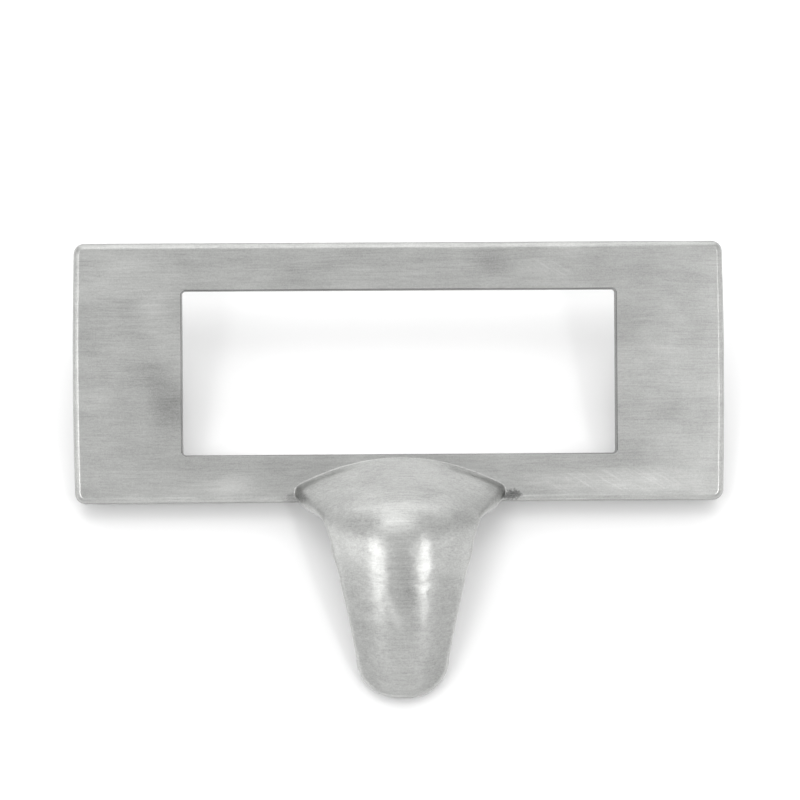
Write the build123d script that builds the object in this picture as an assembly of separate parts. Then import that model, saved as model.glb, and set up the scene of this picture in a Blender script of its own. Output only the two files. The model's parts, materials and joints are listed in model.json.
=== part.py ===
# A cast label frame with a hooked finger pull, for the front of a drawer or bin.
#
# It is one casting: a flat frame with a window for a card, a tongue that rises from the frame's bottom
# rail, bends over and hangs below it, and two tapped posts on the back that take screws from inside.
#
# Millimetres. X runs along the frame, Z is up, and the front faces -Y. The plane Y = 0 is the drawer's
# face, and the origin is on it, midway between the two posts. A depth is a distance in front of it.
import os
from math import asin, cos, degrees, pi, radians, sin, sqrt, tan

from build123d import *

# window
window_length = 61.1
window_height = 23.3
window_corner_radius = 0.6
window_draft = 4.5
window_edge_radius = 0.3

# frame round the window: a panel at each side, a rail above and below
panel_width = 15.1
rail_height = 6.55
frame_thickness = 3.2
end_bulge = 0.25
corner_radius = 1.5
front_edge_radius = 1.0
back_edge_radius = 0.3

# card pocket, cut into the back between the posts and open at the top
card_margin = 2.6
pocket_depth = 1.2
pocket_corner_radius = 0.8
post_clearance = 0.5

# posts, at the middles of the side panels
post_diameter = 7.5
post_length = 5.5
post_edge_radius = 0.4
post_root_fillet = 0.6
thread_bore = 3.5
thread_end_wall = 1.5

# pull, seen from the side
root_gap = 0.35
root_depth = 1.2
neck_angle = 55.0
underside_angle = 67.0
underside_lift = 0.5
projection = 13.6
crest_drop = 5.87
tip_drop = 26.45
tip_setback = 3.8
tongue_thickness = 2.4
tip_thickness = 2.0

# pull, seen from the front
root_half_width = 13.4
shoulder_half_width = 11.3
flare_rise = 4.0
flare_drop = 2.5
tip_half_width = 6.3
tip_flat_half_width = 0.6
side_hollow = 0.35

# pull, across; the share says how far down the rail the neck's corners hang
root_sag_share = 0.505
crest_crown_radius = 15.0
tip_crown_radius = 13.0
root_edge_thickness = 3.0
edge_thickness = 1.5
root_fillet = 0.25

# sections the pull is lofted through: shares of the neck, steps along the bend and the long arc, and angles
# round the tip's corner; they stand close together at both ends, which keeps the surface from swinging out
neck_shares = (0, 0.06, 0.2, 0.4, 0.6, 0.8)
bend_steps = 5
long_steps = 7
tip_angles = (0, 14, 28, 42, 56, 68, 78, 83, 85)

# how near a plane counts as on it
touch = 0.001

frame_length = window_length + 2 * panel_width
frame_height = window_height + 2 * rail_height
bottom_z = -frame_height / 2
apex_z = -window_height / 2 - root_gap
crest_z = bottom_z - crest_drop
tip_z = bottom_z - tip_drop
tip_corner_radius = tip_half_width - tip_flat_half_width
corner_z = tip_z + tip_corner_radius
root_sag = root_sag_share * (apex_z - bottom_z)
root_crown_radius = (root_half_width**2 + root_sag**2) / (2 * root_sag)


def side_path(start_z, angle, crest, tip):
    """A line that leaves the frame at an angle, a bend over the crest and a long arc down to the tip."""
    turn = radians(angle)
    bend_radius = ((start_z - crest_z) * tan(turn) - crest + frame_thickness) / (1 / cos(turn) - 1)
    drop = crest_z - tip_z
    long_radius = (drop**2 + (crest - tip) ** 2) / (2 * (crest - tip))
    bend_start = (bend_radius * (1 - cos(turn)) - crest, crest_z + bend_radius * sin(turn))
    with BuildLine(Plane.YZ) as path:
        neck = Line((-root_depth, start_z + (frame_thickness - root_depth) / tan(turn)), bend_start)
        bend = JernArc(neck @ 1, neck % 1, bend_radius, angle)
        JernArc(bend @ 1, bend % 1, long_radius, degrees(asin(drop / long_radius)))
    return path.edges()


front_path = side_path(apex_z, neck_angle, projection, projection - tip_setback)
back_path = side_path(
    bottom_z + underside_lift,
    underside_angle,
    projection - tongue_thickness,
    projection - tip_setback - tip_thickness,
)
straight_share = (crest_z - corner_z) / (crest_z - tip_z)
buried_length = (frame_thickness - root_depth) / sin(radians(neck_angle))
crest_distance = front_path[0].length - buried_length + front_path[1].length
tongue_length = crest_distance + straight_share * front_path[2].length


def blend(share, first, last):
    """The value a share of the way from the first to the last."""
    return first + share * (last - first)


def fade(distance, length):
    """Falls smoothly from 1 at the start to 0 at a length."""
    return (1 + cos(pi * min(1, max(0, distance / length)))) / 2


def mirrored(point):
    """The point on the other side of the middle."""
    return Vector(-point.X, point.Y, point.Z)


def section(front, back, half_width, core_half_width, crown_radius, edge):
    """A crescent across X from a front point to a back point, with a rounded end outside its core."""
    across = Vector(1, 0, 0)
    inward = (back - front).normalized()
    sag = crown_radius - sqrt(crown_radius**2 - core_half_width**2)
    corner = front + across * core_half_width + inward * sag
    peak = front - inward * sag
    outward = (corner - peak).normalized()
    lean = asin(outward.dot(inward))
    under_corner = corner + (inward * cos(lean) - across * sin(lean)) * edge
    hollow = back - inward * (under_corner - back).dot(inward)
    under_outward = (under_corner - hollow).normalized()
    half_edge = edge / 2 * sin(lean)
    reach = sqrt((half_width - core_half_width + half_edge) ** 2 - half_edge**2) / cos(lean)
    pull_out = 4 / 3 * reach  # a cubic goes three quarters of the way to its middle points
    end = [corner, corner + outward * pull_out, under_corner + under_outward * pull_out, under_corner]
    top_edge = Bezier(mirrored(corner), peak, corner)
    right_edge = Bezier(*end)
    bottom_edge = Bezier(under_corner, hollow, mirrored(under_corner))
    left_edge = Bezier(*[mirrored(point) for point in reversed(end)])
    return Wire([top_edge, right_edge, bottom_edge, left_edge])


def station(leg, share):
    """The section at a share of one leg of the two paths, as wide as the outline is where its edges hang."""
    front = front_path[leg] @ share
    back = back_path[leg] @ share
    distance = sum(path.length for path in front_path[:leg]) + share * front_path[leg].length - buried_length
    if distance < crest_distance:
        bow = blend(fade(distance, crest_distance), 1 / crest_crown_radius, 1 / root_crown_radius)
    else:
        share_below = (distance - crest_distance) / (tongue_length - crest_distance)
        bow = blend(share_below, 1 / crest_crown_radius, 1 / tip_crown_radius)
    hang = 1 / bow - sqrt(1 / bow**2 - shoulder_half_width**2)
    drop = bottom_z - front.Z - (back - front).normalized().Z * hang
    down_share = drop / (bottom_z - corner_z)
    flare = fade(drop + flare_rise, flare_rise + flare_drop)
    hollow = 4 * side_hollow * down_share * (1 - down_share)
    wide = blend(down_share, shoulder_half_width, tip_half_width) - hollow
    wide += flare * (root_half_width - shoulder_half_width)
    edge = blend(flare, edge_thickness, root_edge_thickness)
    core = (wide - edge / 2) / (1 - edge / 2 * bow)
    return section(front, back, wide, core, 1 / bow, edge)


def tip_station(angle):
    """The section an angle round the tip's corner, thinner where the rounded end turns in."""
    round_radius = edge_thickness / 2
    drop = tip_corner_radius * sin(radians(angle))
    wide = tip_flat_half_width + tip_corner_radius * cos(radians(angle))
    core = tip_flat_half_width + sqrt(max(0, (tip_corner_radius - round_radius) ** 2 - drop**2))
    turned_in = max(0, drop - tip_corner_radius + round_radius) / round_radius
    thinning = sqrt(1 - turned_in**2)
    share = (crest_z - corner_z + drop) / (crest_z - tip_z)
    front = front_path[2] @ share
    back = back_path[2] @ share
    inset = (back - front) * (1 - thinning) / 2
    return section(front + inset, back - inset, wide, core, tip_crown_radius, edge_thickness * thinning)


stations = [station(0, share) for share in neck_shares]
stations += [station(1, step / bend_steps) for step in range(bend_steps)]
stations += [station(2, straight_share * step / long_steps) for step in range(long_steps)]
stations += [tip_station(angle) for angle in tip_angles]
pull = Solid.make_loft(stations).fix()


def frame_plan():
    """The frame's outline: straight top and bottom, ends that bulge a little, rounded corners."""
    half_length = frame_length / 2
    half_height = frame_height / 2
    end_x = half_length - end_bulge
    with BuildSketch(Plane.XZ) as plan:
        with BuildLine():
            Line((-end_x, half_height), (end_x, half_height))
            ThreePointArc((end_x, half_height), (half_length, 0), (end_x, -half_height))
            Line((end_x, -half_height), (-end_x, -half_height))
            ThreePointArc((-end_x, -half_height), (-half_length, 0), (-end_x, half_height))
        make_face()
        fillet(plan.vertices(), corner_radius)
    return plan.sketch


front_plane = Plane.XZ.offset(frame_thickness)
post_spacing = window_length + panel_width
with BuildPart() as casting:
    extrude(frame_plan(), amount=frame_thickness)
    fillet(casting.faces().sort_by(Axis.Y)[0].edges(), front_edge_radius)
    fillet(casting.faces().sort_by(Axis.Y)[-1].edges(), back_edge_radius)
    add(pull)
    front_y = -frame_thickness
    seam = casting.edges(Select.NEW).filter_by_position(Axis.Y, front_y - touch, front_y + touch)
    fillet(seam.sort_by(SortBy.LENGTH)[-1], root_fillet)

    with BuildSketch(front_plane):
        RectangleRounded(window_length, window_height, window_corner_radius)
    extrude(amount=-frame_thickness, taper=window_draft, mode=Mode.SUBTRACT)
    front_faces = casting.faces().filter_by(Plane.XZ).filter_by_position(Axis.Y, front_y - touch, 0)
    fillet(front_faces.sort_by(SortBy.AREA)[-1].inner_wires()[0].edges(), window_edge_radius)

    pocket_length = post_spacing - post_diameter - 2 * (post_root_fillet + post_clearance)
    pocket_height = window_height / 2 + card_margin + frame_height / 2
    with BuildSketch(Plane.XZ):
        with Locations((0, frame_height / 2)):
            RectangleRounded(pocket_length, 2 * pocket_height, pocket_corner_radius)
    extrude(amount=pocket_depth, mode=Mode.SUBTRACT)

    posts = GridLocations(post_spacing, 0, 2, 1)
    with BuildSketch(Plane.XZ):
        with posts:
            Circle(post_diameter / 2)
    extrude(amount=-post_length)
    post_ends = casting.faces().filter_by(Plane.XZ).group_by(Axis.Y)[-1]
    fillet(post_ends.edges(), post_edge_radius)
    rings = casting.edges().filter_by(lambda edge: edge.is_closed)
    fillet(rings.filter_by_position(Axis.Y, -touch, touch), post_root_fillet)
    thread_depth = post_length + frame_thickness - thread_end_wall
    with BuildSketch(Plane.XZ.offset(-post_length)):
        with posts:
            Circle(thread_bore / 2)
    extrude(amount=thread_depth, mode=Mode.SUBTRACT)

os.makedirs("parts", exist_ok=True)
export_step(casting.part, "parts/label_pull.step")
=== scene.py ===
"""Label holder bin pull: a brushed metal frame for a card, with a hooked finger pull below its window.

Metres, in the frame of the solid model: X along the frame, Z up, the front faces -Y, and Y = 0 is the
plane of the drawer front. The casting's form comes from the solid model. This file gives it its brushed
finish, cuts the threads in its two posts, and lays it on a white card under soft light.
"""

import json
import math

import bmesh
import bpy
import numpy as np
from bpy.props import FloatProperty, FloatVectorProperty, IntProperty, PointerProperty
from mathutils import Matrix, Vector


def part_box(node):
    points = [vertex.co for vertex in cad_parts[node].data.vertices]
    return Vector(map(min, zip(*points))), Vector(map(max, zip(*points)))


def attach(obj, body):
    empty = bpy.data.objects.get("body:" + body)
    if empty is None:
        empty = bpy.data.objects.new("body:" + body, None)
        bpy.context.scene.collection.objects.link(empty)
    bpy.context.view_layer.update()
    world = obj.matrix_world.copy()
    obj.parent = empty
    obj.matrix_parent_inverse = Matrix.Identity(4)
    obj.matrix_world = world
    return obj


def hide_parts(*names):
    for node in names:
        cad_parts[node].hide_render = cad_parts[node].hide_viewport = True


bl_info = {
    "name": "Label Holder Bin Pull",
    "version": (1, 0, 0),
    "blender": (4, 5, 0),
    "location": "3D View > Sidebar > Label Pull",
    "description": "Dresses the cast label frame and finger pull, and lays it on a white card",
    "category": "Object",
}

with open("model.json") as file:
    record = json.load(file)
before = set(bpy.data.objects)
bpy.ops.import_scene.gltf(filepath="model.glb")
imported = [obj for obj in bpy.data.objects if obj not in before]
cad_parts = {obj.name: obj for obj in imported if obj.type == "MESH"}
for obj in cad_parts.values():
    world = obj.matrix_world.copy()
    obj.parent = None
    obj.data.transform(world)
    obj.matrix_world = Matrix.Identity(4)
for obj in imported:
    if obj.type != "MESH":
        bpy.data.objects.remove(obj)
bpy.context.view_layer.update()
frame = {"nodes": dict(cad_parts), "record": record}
MM = 0.001
CASTING = "label_pull"
LOW, HIGH = (Vector(corner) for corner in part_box(CASTING))
MOUNTS = {mount["name"]: mount for mount in frame["record"]["mounts"]}
BORES = (MOUNTS["post_left"], MOUNTS["post_right"])
POST_END = HIGH.y
FRAME_FRONT = -3.2 * MM

# the pull's faces below this height are divided until their edges are fine, where they bend less than a curve's
# facets do; vertices closer than the merged distance are one, and edges that bend more than sharp stay crisp
PULL_TOP = -18.6 * MM
FINE = 0.3 * MM
CURVED = math.radians(32)
MERGED = 0.00001 * MM
SHARP = math.radians(50)

# the pull below its crest, as in the solid: the heights of its crest and tip, how far out its front and back
# arcs stand at each, the tip's flat half width and the radii of its corners and of its edge
CREST_Z, TIP_Z = -24.07 * MM, -44.65 * MM
FRONT_ARC = (-13.6 * MM, -9.8 * MM)
BACK_ARC = (-11.2 * MM, -7.8 * MM)
TIP_FLAT = 0.6 * MM
TIP_CORNER = 5.7 * MM
TIP_EDGE = 0.75 * MM
# how far the tip bows and how much thinner it gets towards its sides: metres for each square metre across
TIP_BOW = 30.4
TIP_THINNING = 12.5
# the height at which the solid's mesh is cut, for an even grid to take over
TIP_CUT = -38.7 * MM

# each lamp: its turn to the right, its height above the pull and how far its top leans to the left, all in
# degrees, then its width and height in metres, and its power in watts
LAMPS = (
    ("left_strip", -29.0, -5.0, 28.0, (0.07, 0.27), 0.46),
    ("right_strip", 27.0, -5.0, 14.0, (0.06, 0.26), 0.42),
    ("left_patch", -50.0, 2.0, 0.0, (0.20, 0.08), 0.20),
    ("right_patch", 50.0, 0.0, 0.0, (0.18, 0.08), 0.10),
    ("low_front", 0.0, -42.0, 0.0, (0.50, 0.24), 0.16),
    ("front_top", -6.0, 44.0, 0.0, (0.40, 0.20), 0.48),
    ("left_side", -72.0, -2.0, 0.0, (0.16, 0.34), 0.20),
    ("right_side", 72.0, -2.0, 0.0, (0.16, 0.34), 0.16),
    ("overhead", 0.0, 76.0, 0.0, (0.90, 0.26), 0.90),
    ("top_back", 0.0, 103.0, 0.0, (0.90, 0.16), 0.42),
)
# the point that the lamps face, and how far off they are
LIT_FROM = Vector((0, -8 * MM, -15 * MM))
LAMP_REACH = 0.6

# painted highlights and painted shade: soft patches where the colour is made light or dark to stand in for the
# metal's reflections. Each: the middle across and up, the size across, in depth and up, all in millimetres, the
# turn in radians, how soft and how ragged the edge is, and the change in tone
PAINTED_HIGHLIGHTS = (
    (-24.5, -16.0, (7.0, 30.0, 2.6), 0.0, 1.0, 0.0, 0.40),
    (-34.5, 9.0, (4.5, 30.0, 6.0), 0.0, 1.0, 0.0, 0.12),
    (-1.5, -20.0, (5.0, 30.0, 3.0), 0.5, 1.0, 0.0, 0.12),
    (-1.3, -32.6, (1.0, 40.0, 4.6), 0.36, 1.0, 0.0, 0.34),
)
# painted shade: dark patches, among them the strip down the pull between its two highlights and the neck's ends
PAINTED_SHADE = (
    (1.1, -31.0, (1.9, 40.0, 9.0), 0.16, 0.9, 0.0, 0.20),
    (7.0, -18.7, (5.5, 30.0, 2.2), -0.45, 1.0, 0.0, 0.14),
    (-3.6, -41.0, (2.6, 30.0, 4.5), 0.0, 1.0, 0.0, 0.12),
    (-32.0, -4.5, (5.0, 30.0, 6.0), 0.5, 1.0, 0.0, 0.34),
    (-36.0, 0.5, (8.0, 30.0, 4.0), 0.3, 1.0, 0.0, 0.10),
    (12.7, 15.2, (5.5, 30.0, 3.4), 0.0, 1.0, 0.0, 0.24),
    (-20.0, 15.5, (12.0, 30.0, 4.0), 0.0, 1.0, 0.0, 0.08),
    (37.0, 13.0, (8.0, 30.0, 4.0), 0.0, 1.0, 0.0, 0.08),
    (-14.6, -17.6, (2.2, 30.0, 1.2), 0.0, 0.6, 0.5, 0.35),
    (15.6, -17.2, (1.9, 30.0, 1.0), 0.0, 0.6, 0.7, 0.60),
)


class FinishSettings(bpy.types.PropertyGroup):
    """The metal and how it is brushed."""

    metal: FloatVectorProperty(
        name="Metal",
        description="Colour of the bare metal",
        default=(0.375, 0.378, 0.370),
        subtype="COLOR",
        size=3,
        min=0.0,
        max=1.0,
    )
    roughness: FloatProperty(
        name="Roughness",
        description="How satin the brushed metal is",
        default=0.33,
        min=0.05,
        max=1.0,
        subtype="FACTOR",
    )
    brushing: FloatProperty(
        name="Brushing",
        description="How far a reflection is drawn out across the brush lines",
        default=0.6,
        min=0.0,
        max=1.0,
        subtype="FACTOR",
    )
    line_length: FloatProperty(
        name="Line Length",
        description="Length of a brush line",
        default=9.0 * MM,
        min=0.1 * MM,
        unit="LENGTH",
    )
    line_width: FloatProperty(
        name="Line Width",
        description="Width of a brush line",
        default=0.2 * MM,
        min=0.01 * MM,
        unit="LENGTH",
    )
    line_tone: FloatProperty(
        name="Line Tone",
        description="How far brush lines lighten and darken the metal",
        default=0.2,
        min=0.0,
        max=1.0,
        subtype="FACTOR",
    )
    cloud_tone: FloatProperty(
        name="Cloud Tone",
        description="How far broad cloudy patches lighten and darken the metal",
        default=0.16,
        min=0.0,
        max=1.0,
        subtype="FACTOR",
    )


class ThreadSettings(bpy.types.PropertyGroup):
    """The threads in the two posts."""

    pitch: FloatProperty(
        name="Pitch",
        description="Distance from one turn to the next",
        default=0.7 * MM,
        min=0.1 * MM,
        unit="LENGTH",
    )
    depth: FloatProperty(
        name="Depth",
        description="How far the crests stand in from the bore",
        default=0.3 * MM,
        min=0.01 * MM,
        unit="LENGTH",
    )
    steps: IntProperty(
        name="Steps",
        description="Points in one turn",
        default=40,
        min=8,
    )


class StageSettings(bpy.types.PropertyGroup):
    """The camera and the card."""

    camera_distance: FloatProperty(
        name="Camera Distance",
        description="From the frame's front to the camera",
        default=240.0 * MM,
        unit="LENGTH",
    )
    camera_height: FloatProperty(
        name="Camera Height",
        description="Height the camera looks from, above the middle of the frame",
        default=-8.0 * MM,
        unit="LENGTH",
    )
    camera_side: FloatProperty(
        name="Camera Side",
        description="How far left of the middle the camera stands",
        default=8.0 * MM,
        unit="LENGTH",
    )
    camera_turn: FloatProperty(
        name="Camera Turn",
        description="How far the camera turns towards the middle",
        default=math.radians(0.8),
        subtype="ANGLE",
    )
    camera_roll: FloatProperty(
        name="Camera Roll",
        description="Turn of the picture about the line of sight",
        default=math.radians(0.37),
        subtype="ANGLE",
    )
    picture_middle: FloatVectorProperty(
        name="Picture Middle",
        description="The point of the frame's front in the middle of the picture, across and up",
        default=(0.02 * MM, -3.9 * MM),
        subtype="XYZ_LENGTH",
        size=2,
    )
    lens: FloatProperty(
        name="Lens",
        description="Focal length on a 36 mm sensor",
        default=77.4,
        unit="CAMERA",
    )
    card_half_size: FloatProperty(
        name="Card Half Size",
        description="Half the width and height of the white card",
        default=220.0 * MM,
        unit="LENGTH",
    )


class Nodes:
    """Adds nodes to a tree and joins them, so that a material reads as a list of steps."""

    def __init__(self, tree):
        self.tree = tree
        self.tree.nodes.clear()

    def add(self, kind, inputs=None, **settings):
        node = self.tree.nodes.new(kind)
        for name, value in settings.items():
            setattr(node, name, value)
        for name, value in (inputs or {}).items():
            socket = node.inputs[name]
            if isinstance(value, bpy.types.NodeSocket):
                self.tree.links.new(value, socket)
            else:
                socket.default_value = value
        return node

    def math(self, operation, a, b=0.0, clamp=False):
        return self.add("ShaderNodeMath", {0: a, 1: b}, operation=operation, use_clamp=clamp).outputs[0]

    def sum(self, first, *others):
        for other in others:
            first = self.math("ADD", first, other)
        return first

    def swing(self, value, amount):
        """A value that lies round one half, as an amount above and below nothing."""
        return self.math("MULTIPLY", self.math("SUBTRACT", value, 0.5), 2 * amount)

    def ramp(self, value, low, high, to_low=0.0, to_high=1.0):
        """Turns smoothly from one value to another between two places."""
        node = self.add(
            "ShaderNodeMapRange",
            {"Value": value, "From Min": low, "From Max": high, "To Min": to_low, "To Max": to_high},
            interpolation_type="SMOOTHSTEP",
        )
        return node.outputs["Result"]

    def mapped(self, vector, size, turn=0.0, place=(0.0, 0.0, 0.0)):
        """A pattern's own coordinates: centred on a place, turned in the plane of the front, and sized."""
        back = self.add("ShaderNodeVectorMath", {0: vector, 1: place}, operation="SUBTRACT").outputs[0]
        turned = self.add("ShaderNodeMapping", {"Vector": back, "Rotation": (0.0, turn, 0.0)}).outputs[0]
        scale = tuple(1.0 / length for length in size)
        return self.add("ShaderNodeVectorMath", {0: turned, 1: scale}, operation="MULTIPLY").outputs[0]

    def noise(self, vector, detail=2.0, roughness=0.5, distortion=0.0):
        inputs = {"Vector": vector, "Scale": 1.0, "Detail": detail, "Roughness": roughness}
        inputs["Distortion"] = distortion
        return self.add("ShaderNodeTexNoise", inputs).outputs["Fac"]

    def scaled(self, colour, tone):
        inputs = {0: tuple(colour), "Scale": tone}
        return self.add("ShaderNodeVectorMath", inputs, operation="SCALE").outputs[0]

    def bump(self, height, strength, distance, **inputs):
        inputs.update({"Height": height, "Strength": strength, "Distance": distance})
        return self.add("ShaderNodeBump", inputs).outputs["Normal"]

    def patch(self, vector, across, up, size, turn, soft, ragged, tone=1.0):
        """A soft oval patch: its tone in its middle and 0 outside, its edge broken up where it is ragged."""
        local = self.mapped(vector, [length * MM for length in size], turn, (across * MM, 0, up * MM))
        far = self.add("ShaderNodeVectorMath", {0: local}, operation="LENGTH").outputs["Value"]
        if ragged:
            crumbs = self.noise(self.mapped(vector, (0.5 * MM,) * 3), 3.0)
            far = self.math("ADD", far, self.swing(crumbs, ragged))
        return self.math("MULTIPLY", self.ramp(far, 1.0 - soft, 1.0, 1.0, 0.0), tone)


def brushed_metal(settings):
    """Satin cast metal, brushed by hand along the frame and across the pull.

    Fine and broad brush lines are noise drawn out along X, and clouds are soft noise. Patches are painted
    highlights and painted shade, set where the metal's reflections are light or dark, and scratches lie in two
    of the light patches. All change the tone a little, and the lines and clouds also how the surface leans. The
    back, the outer sides and the end of the tip have painted shade and are rougher, and the window's wall has
    painted shade.
    """
    material = bpy.data.materials.new("brushed_metal")
    material.use_nodes = True
    n = Nodes(material.node_tree)
    place = n.add("ShaderNodeTexCoord").outputs["Object"]
    length, width = settings.line_length, settings.line_width

    wander = n.noise(n.mapped(place, (14 * MM,) * 3), 1.0)
    bent = n.add("ShaderNodeCombineXYZ", {"Z": n.swing(wander, 0.5 * MM)}).outputs[0]
    along = n.add("ShaderNodeVectorMath", {0: place, 1: bent}, operation="ADD").outputs[0]
    hair = n.noise(n.mapped(along, (0.45 * length, width, width)), 2.0, 0.6)
    line = n.noise(n.mapped(along, (length, 2.2 * width, 2.2 * width), 0.02), 3.0, 0.6)
    band = n.noise(n.mapped(along, (2.4 * length, 9 * width, 9 * width), -0.02), 2.0, 0.5)
    cloud = n.noise(n.mapped(place, (11 * MM, 11 * MM, 6 * MM)), 2.0, 0.55, 0.4)
    grain = n.noise(n.mapped(place, (0.5 * MM, 0.25 * MM, 0.25 * MM)), 1.0)
    speckle = n.noise(n.mapped(place, (0.2 * MM,) * 3), 2.0, 0.7)
    dimple = n.noise(n.mapped(place, (4.5 * MM, 4.5 * MM, 3.5 * MM)), 2.0, 0.5, 0.3)

    # painted highlights: two light patches of colour on the right of the lower and upper rails, where scratches
    # lie too
    low_corner = n.patch(place, 30.0, -15.4, (17.0, 30.0, 2.6), 0.0, 0.7, 0.0)
    top_corner = n.patch(place, 22.0, 15.0, (8.0, 30.0, 3.4), math.radians(20), 0.9, 0.0)
    scored = n.noise(n.mapped(place, (5 * MM, 0.3 * MM, 0.3 * MM), math.radians(-32)), 2.0, 0.6)
    scratches = n.math("MULTIPLY", n.ramp(scored, 0.52, 0.72), n.math("MAXIMUM", low_corner, top_corner))
    # painted highlights, with the light tone of the scratches
    highlights_and_scratches = n.sum(
        n.math("MULTIPLY", low_corner, 0.22),
        n.math("MULTIPLY", top_corner, 0.05),
        *[n.patch(place, *row) for row in PAINTED_HIGHLIGHTS],
        n.math("MULTIPLY", scratches, 0.16),
    )
    # painted shade
    painted_shade_patches = n.sum(*[n.patch(place, *row) for row in PAINTED_SHADE])

    at = n.add("ShaderNodeSeparateXYZ", {"Vector": place}).outputs
    # painted shade: the back, the outer sides behind the front's rounded edge and the end of the tip are made
    # dark, and rougher
    behind = n.ramp(at["Y"], -2.95 * MM, -2.5 * MM)
    under_tip = n.ramp(at["Z"], -44.6 * MM, -44.35 * MM, 1.0, 0.0)
    rough_painted_shade = n.math("MAXIMUM", behind, under_tip)
    # painted shade on the window's wall: made dark within the window's edge, behind the front face
    window_x = n.ramp(n.math("ABSOLUTE", at["X"]), 30.7 * MM, 30.9 * MM, 1.0, 0.0)
    window_z = n.ramp(n.math("ABSOLUTE", at["Z"]), 11.8 * MM, 12.0 * MM, 1.0, 0.0)
    window = n.math("MULTIPLY", window_x, window_z)
    window_wall_shade = n.math("MULTIPLY", window, n.ramp(at["Y"], -3.05 * MM, -2.8 * MM))
    pull = n.ramp(at["Y"], -4.6 * MM, -3.4 * MM, 1.0, 0.0)
    tone = n.sum(
        1.0,
        n.swing(hair, settings.line_tone),
        n.swing(line, settings.line_tone * 0.5),
        n.swing(band, settings.line_tone * 0.3),
        n.swing(cloud, settings.cloud_tone),
        n.swing(dimple, settings.cloud_tone * 0.6),
        n.swing(grain, settings.line_tone * 0.6),
        n.swing(speckle, settings.line_tone * 1.3),
        # the patches' painted highlights and painted shade stay off the back
        n.math("MULTIPLY", n.math("SUBTRACT", highlights_and_scratches, painted_shade_patches), n.math("SUBTRACT", 1.0, rough_painted_shade)),
        # painted shade on the back, the outer sides and the end of the tip
        n.math("MULTIPLY", rough_painted_shade, -0.27),
        # painted shade on the window's wall
        n.math("MULTIPLY", window_wall_shade, -0.35),
    )
    colour = n.scaled(settings.metal, tone)
    rough = n.sum(
        settings.roughness,
        n.swing(line, 0.05),
        n.swing(cloud, 0.05),
        n.math("MULTIPLY", painted_shade_patches, 0.15),
        n.math("MULTIPLY", rough_painted_shade, 0.12),
    )
    relief = n.sum(n.math("MULTIPLY", hair, 0.4), line, n.math("MULTIPLY", scratches, 0.6))
    fine = n.bump(relief, 0.35, 0.02 * MM)
    uneven = n.math("MULTIPLY", n.sum(cloud, dimple), n.ramp(pull, 0.0, 1.0, 0.5, 1.1))
    uneven = n.math("ADD", uneven, n.math("MULTIPLY", band, 0.2))
    soft = n.bump(uneven, 1.0, 0.1 * MM, Normal=fine)
    upward = n.add("ShaderNodeCombineXYZ", {"X": 0.05, "Y": 0.1, "Z": 1.0}).outputs[0]
    shader = n.add(
        "ShaderNodeBsdfPrincipled",
        {
            "Base Color": colour,
            "Metallic": 1.0,
            "Roughness": rough,
            "Anisotropic": settings.brushing,
            "Tangent": upward,
            "Normal": soft,
        },
    )
    n.add("ShaderNodeOutputMaterial", {"Surface": shader.outputs["BSDF"]})
    return material


def cut_metal(settings):
    """The bright cut of a tapped thread, with rings finer than the casting's brush lines."""
    material = bpy.data.materials.new("cut_metal")
    material.use_nodes = True
    n = Nodes(material.node_tree)
    place = n.add("ShaderNodeTexCoord").outputs["Object"]
    rings = n.noise(n.mapped(place, (2 * MM, 0.04 * MM, 2 * MM)), 2.0)
    tone = n.math("ADD", 0.9, n.swing(rings, 0.12))
    colour = n.scaled(settings.metal, tone)
    bump = n.bump(rings, 0.3, 0.01 * MM)
    shader = n.add(
        "ShaderNodeBsdfPrincipled",
        {"Base Color": colour, "Metallic": 1.0, "Roughness": 0.3, "Normal": bump},
    )
    n.add("ShaderNodeOutputMaterial", {"Surface": shader.outputs["BSDF"]})
    return material


def card_white():
    """White card, with a glow that only the camera and reflections see. From behind it is clear."""
    material = bpy.data.materials.new("card_white")
    material.use_nodes = True
    n = Nodes(material.node_tree)
    path = n.add("ShaderNodeLightPath").outputs
    mirrored = n.math("MULTIPLY", n.math("ADD", path["Is Glossy Ray"], path["Is Transmission Ray"]), 0.38)
    lift = n.math("ADD", n.math("MULTIPLY", path["Is Camera Ray"], 0.05), mirrored)
    paper = n.add("ShaderNodeBsdfDiffuse", {"Color": (0.86, 0.86, 0.86, 1.0)}).outputs["BSDF"]
    glow = n.add("ShaderNodeEmission", {"Strength": lift}).outputs["Emission"]
    front = n.add("ShaderNodeAddShader", {0: paper, 1: glow}).outputs["Shader"]
    clear = n.add("ShaderNodeBsdfTransparent").outputs["BSDF"]
    behind = n.add("ShaderNodeNewGeometry").outputs["Backfacing"]
    mix = n.add("ShaderNodeMixShader", {0: behind, 1: front, 2: clear}).outputs["Shader"]
    n.add("ShaderNodeOutputMaterial", {"Surface": mix})
    return material


def link(obj):
    bpy.context.scene.collection.objects.link(obj)
    return obj


def grid_mesh(name, points, closed_across=False, closed_ends=(False, False)):
    """A mesh over a grid of points: one face between each four neighbours.

    Closed across, the last column is joined to the first. A closed end is one face over the end's row.
    """
    rows, columns = points.shape[:2]
    row = np.arange(rows - 1)[:, None]
    column = np.arange(columns if closed_across else columns - 1)[None, :]
    after = (column + 1) % columns
    below = (row + 1) * columns
    corners = [row * columns + column, row * columns + after, below + after, below + column]
    shape = (rows - 1, column.shape[1])
    faces = np.stack([np.broadcast_to(corner, shape) for corner in corners], axis=-1).reshape(-1, 4)
    ends = [list(range(columns))[::-1], list(range((rows - 1) * columns, rows * columns))]
    ends = [end for end, closed in zip(ends, closed_ends) if closed]
    mesh = bpy.data.meshes.new(name)
    mesh.from_pydata(points.reshape(-1, 3).tolist(), [], faces.tolist() + ends)
    mesh.validate()
    return mesh


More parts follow.
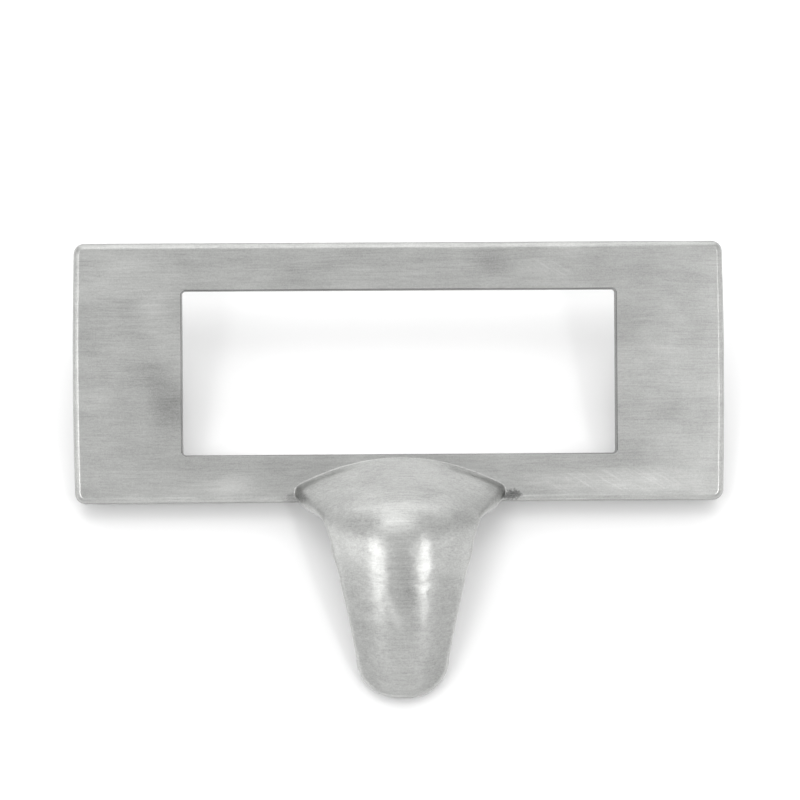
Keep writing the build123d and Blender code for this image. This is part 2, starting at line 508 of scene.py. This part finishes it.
def long_arc(ends, share):
    """The Y and Z a share of the way down one of the pull's long arcs, which are upright at the crest."""
    drop = CREST_Z - TIP_Z
    swing = ends[1] - ends[0]
    radius = (drop**2 + swing**2) / (2 * swing)
    turn = share * math.asin(drop / radius)
    return ends[0] + radius * (1 - np.cos(turn)), CREST_Z - radius * np.sin(turn)


def tip_points():
    """The end of the pull as a grid: each row goes once round it, a step further down than the last.

    A row's middle line bows forward as a parabola, half way between the front and back arcs. The surface
    stands off that line to both sides, by half the thickness in the middle and less towards the sides.
    Within an edge radius of the outline, a flat between two large corners, it comes in as a circle does.
    """
    upper = TIP_CORNER * np.sin(np.linspace(0, math.asin(1 - TIP_EDGE / TIP_CORNER), 16))
    lower = TIP_CORNER - TIP_EDGE * (1 - np.sin(np.linspace(0, math.radians(88), 13)[1:]))
    down = np.concatenate([upper, lower])[:, None]
    turn = np.linspace(0, 2 * math.pi, 112, endpoint=False)[None, :]
    x = -np.cos(turn) * (TIP_FLAT + np.sqrt(TIP_CORNER**2 - down**2))
    inside = TIP_CORNER - np.hypot(np.maximum(np.abs(x) - TIP_FLAT, 0), down)
    side = np.sign(np.sin(turn)) * np.sqrt(1 - (1 - np.clip(inside / TIP_EDGE, 0, 1)) ** 2)
    share = (CREST_Z - TIP_Z - TIP_CORNER + down) / (CREST_Z - TIP_Z)
    front_y, front_z = long_arc(FRONT_ARC, share)
    back_y, back_z = long_arc(BACK_ARC, share)
    thickness = np.hypot(back_y - front_y, back_z - front_z)
    slope = 2 * TIP_BOW * x
    off = side * (thickness / 2 - TIP_THINNING * x**2) / np.sqrt(1 + slope**2)
    depth = 0.5 + (TIP_BOW * x**2 - off) / thickness
    y = front_y + depth * (back_y - front_y)
    z = front_z + depth * (back_z - front_z)
    return np.stack([x + slope * off, y, z], axis=-1)


class PULL_OT_casting(bpy.types.Operator):
    """Give the casting its brushed finish"""

    bl_idname = "label_pull.casting"
    bl_label = "Casting"

    def execute(self, context):
        mesh = frame["nodes"][CASTING].data.copy()
        shape = bmesh.new()
        shape.from_mesh(mesh)
        bmesh.ops.remove_doubles(shape, verts=shape.verts, dist=MERGED)
        self.refine(shape)
        shape.to_mesh(mesh)
        shape.free()
        mesh.shade_smooth()
        mesh.set_sharp_from_angle(angle=SHARP)
        casting = link(bpy.data.objects.new("cast_frame_and_pull", mesh))
        self.flatten(mesh)
        mesh.materials.clear()
        mesh.materials.append(brushed_metal(context.scene.label_pull_finish))
        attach(casting, "root")
        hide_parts(CASTING)
        return {"FINISHED"}

    def flatten(self, mesh):
        """Shades the flat faces flat: their corners, and roundings from there, take the face's normal."""
        corner_vertex = np.empty(len(mesh.loops), int)
        mesh.loops.foreach_get("vertex_index", corner_vertex)
        corners = np.empty(len(mesh.polygons), int)
        mesh.polygons.foreach_get("loop_total", corners)
        corner_face = np.repeat(np.arange(len(corners)), corners)
        face_normal = np.empty(3 * len(corners))
        mesh.polygons.foreach_get("normal", face_normal)
        normals = np.empty(3 * len(corner_vertex))
        mesh.corner_normals.foreach_get("vector", normals)
        face_normal, normals = face_normal.reshape(-1, 3), normals.reshape(-1, 3)
        for direction in np.concatenate([np.eye(3), -np.eye(3)]):
            lean = (face_normal @ direction)[corner_face]
            flat = np.zeros(len(mesh.vertices), bool)
            flat[corner_vertex[lean > 0.99999]] = True
            normals[flat[corner_vertex] & (lean > math.cos(SHARP))] = direction
        mesh.normals_split_custom_set(normals.tolist())

    def refine(self, shape):
        """Divides the pull's faces, rounds them out between corners, and puts an even grid at the tip."""
        everything = [*shape.verts, *shape.edges, *shape.faces]
        plane = {"plane_co": (0, 0, TIP_CUT), "plane_no": (0, 0, -1)}
        bmesh.ops.bisect_plane(shape, geom=everything, clear_outer=True, **plane)
        for _ in range(2):
            curved = [
                edge
                for edge in shape.edges
                if all(vertex.co.z < PULL_TOP and vertex.co.y < 0 for vertex in edge.verts)
                and edge.calc_face_angle(0.0) < CURVED
                and edge.calc_length() > FINE
            ]
            shape.normal_update()
            bmesh.ops.subdivide_edges(shape, edges=curved, cuts=1, smooth=1.0, smooth_falloff="LINEAR")
        tip = grid_mesh("tip", tip_points(), closed_across=True, closed_ends=(False, True))
        shape.from_mesh(tip)
        bpy.data.meshes.remove(tip)
        bmesh.ops.bridge_loops(shape, edges=[edge for edge in shape.edges if edge.is_boundary])
        bmesh.ops.recalc_face_normals(shape, faces=shape.faces)
        bmesh.ops.triangulate(shape, faces=shape.faces)


class PULL_OT_threads(bpy.types.Operator):
    """Cut the threads in the two posts"""

    bl_idname = "label_pull.threads"
    bl_label = "Threads"

    def execute(self, context):
        material = cut_metal(context.scene.label_pull_finish)
        for mount in BORES:
            side = mount["name"].split("_")[-1]
            points = self.ridge(mount, context.scene.label_pull_thread)
            ridge = grid_mesh("thread_" + side, points, closed_across=True, closed_ends=(True, True))
            thread = link(bpy.data.objects.new("thread_" + side, ridge))
            thread.data.materials.append(material)
            thread.data.shade_smooth()
            thread.data.set_sharp_from_angle(angle=math.radians(30))
            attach(thread, "root")
        return {"FINISHED"}

    def ridge(self, mount, thread):
        """A flat-topped ridge that winds round the bore and runs out at both ends.

        The angle grows evenly and the ridge climbs by a pitch in each turn. Its foot is a little way inside
        the wall. Its height and width grow in the first half turn and shrink in the last.
        """
        centre = Vector(mount["pos_m"])
        radius = mount["dims"]["r_mm"] * MM
        length = mount["dims"]["length_mm"] * MM - 1.2 * thread.pitch
        turns = length / thread.pitch
        angle = np.linspace(0, 2 * math.pi * turns, int(thread.steps * turns))[:, None]
        to_end = np.minimum(angle, angle[-1] - angle)
        size = np.clip(to_end / math.pi, 0.02, 1.0)
        across = np.array([-0.46, -0.10, 0.10, 0.46])[None, :] * thread.pitch
        inward = np.array([-0.15, 1.0, 1.0, -0.15])[None, :] * thread.depth
        out = radius - inward * size
        y = centre.y - length / 2 + angle / (2 * math.pi) * thread.pitch + across * size
        return np.stack([centre.x + out * np.cos(angle), y, centre.z - out * np.sin(angle)], axis=-1)


class PULL_OT_stage(bpy.types.Operator):
    """Lay the pull on a white card, with a camera and soft lamps"""

    bl_idname = "label_pull.stage"
    bl_label = "Stage"

    def execute(self, context):
        stage = context.scene.label_pull_stage
        self.camera(context, stage)
        self.card(stage)
        for lamp in LAMPS:
            self.lamp(*lamp)
        self.world(context)
        return {"FINISHED"}

    def camera(self, context, stage):
        data = bpy.data.cameras.new("camera")
        data.lens = stage.lens
        data.sensor_width = 36.0
        data.clip_start = 0.01
        camera = link(bpy.data.objects.new("camera", data))
        place = Vector((-stage.camera_side, FRAME_FRONT - stage.camera_distance, stage.camera_height))
        look = Matrix.Rotation(-stage.camera_turn, 4, "Z") @ Matrix.Rotation(math.radians(90), 4, "X")
        camera.matrix_world = Matrix.Translation(place) @ look @ Matrix.Rotation(-stage.camera_roll, 4, "Z")
        across, up = stage.picture_middle
        aside = math.atan2(across + stage.camera_side, stage.camera_distance) - stage.camera_turn
        data.shift_x = math.tan(aside) * stage.lens / data.sensor_width
        data.shift_y = (up - stage.camera_height) / stage.camera_distance * stage.lens / data.sensor_width
        context.scene.camera = camera

    def card(self, stage):
        """A plane through the ends of the posts and the tip of the pull, as the pull lies on a table."""
        top = Vector((0, POST_END, -3.75 * MM))
        tip = Vector((0, -7.9 * MM, LOW.z + 0.6 * MM))
        up = (top - tip).normalized()
        side = Vector((1, 0, 0))
        reach = stage.card_half_size
        rows = [top + up * rise for rise in (-reach, reach)]
        corners = np.array([[row - side * reach, row + side * reach] for row in rows])
        card = link(bpy.data.objects.new("card", grid_mesh("card", corners)))
        card.data.materials.append(card_white())

    def lamp(self, name, turn, height, slant, size, power):
        turn, height, slant = math.radians(turn), math.radians(height), math.radians(slant)
        level = math.cos(height)
        way = Vector((math.sin(turn) * level, -math.cos(turn) * level, math.sin(height)))
        data = bpy.data.lights.new(name, "AREA")
        data.shape = "RECTANGLE"
        data.size, data.size_y = size
        data.energy = power
        lamp = link(bpy.data.objects.new(name, data))
        facing = way.to_track_quat("Z", "Y").to_matrix().to_4x4() @ Matrix.Rotation(slant, 4, "Z")
        lamp.matrix_world = Matrix.Translation(LIT_FROM + LAMP_REACH * way) @ facing

    def world(self, context):
        """White to the camera and in reflections. Other light from it is strong above and weak below."""
        world = bpy.data.worlds.new("white_room")
        world.use_nodes = True
        n = Nodes(world.node_tree)
        path = n.add("ShaderNodeLightPath").outputs
        seen = n.math("ADD", path["Is Camera Ray"], path["Is Glossy Ray"])
        seen = n.math("ADD", seen, path["Is Transmission Ray"], clamp=True)
        way = n.add("ShaderNodeTexCoord").outputs["Generated"]
        height = n.add("ShaderNodeSeparateXYZ", {"Vector": way}).outputs["Z"]
        lit = n.ramp(height, -0.5, 0.8, 0.08, 1.55)
        strength = n.math("ADD", n.math("MULTIPLY", n.math("SUBTRACT", 1.0, seen), lit), seen)
        back = n.add("ShaderNodeBackground", {"Color": (1, 1, 1, 1), "Strength": strength})
        n.add("ShaderNodeOutputWorld", {"Surface": back.outputs["Background"]})
        context.scene.world = world


class PULL_PT_panel(bpy.types.Panel):
    """Lists the pull's pieces and its stage."""

    bl_label = "Label Pull"
    bl_idname = "PULL_PT_panel"
    bl_space_type = "VIEW_3D"
    bl_region_type = "UI"
    bl_category = "Label Pull"

    def draw(self, context):
        for operator in (PULL_OT_casting, PULL_OT_threads, PULL_OT_stage):
            self.layout.operator(operator.bl_idname)


CLASSES = (
    FinishSettings,
    ThreadSettings,
    StageSettings,
    PULL_OT_casting,
    PULL_OT_threads,
    PULL_OT_stage,
    PULL_PT_panel,
)


def register():
    for cls in CLASSES:
        bpy.utils.register_class(cls)
    bpy.types.Scene.label_pull_finish = PointerProperty(type=FinishSettings)
    bpy.types.Scene.label_pull_thread = PointerProperty(type=ThreadSettings)
    bpy.types.Scene.label_pull_stage = PointerProperty(type=StageSettings)


def unregister():
    del bpy.types.Scene.label_pull_stage
    del bpy.types.Scene.label_pull_thread
    del bpy.types.Scene.label_pull_finish
    for cls in reversed(CLASSES):
        bpy.utils.unregister_class(cls)


def main():
    register()
    bpy.ops.label_pull.casting()
    bpy.ops.label_pull.threads()
    bpy.ops.label_pull.stage()
    bpy.context.scene.view_settings.view_transform = "Standard"
    bpy.context.view_layer.update()


if __name__ == "__main__":
    main()
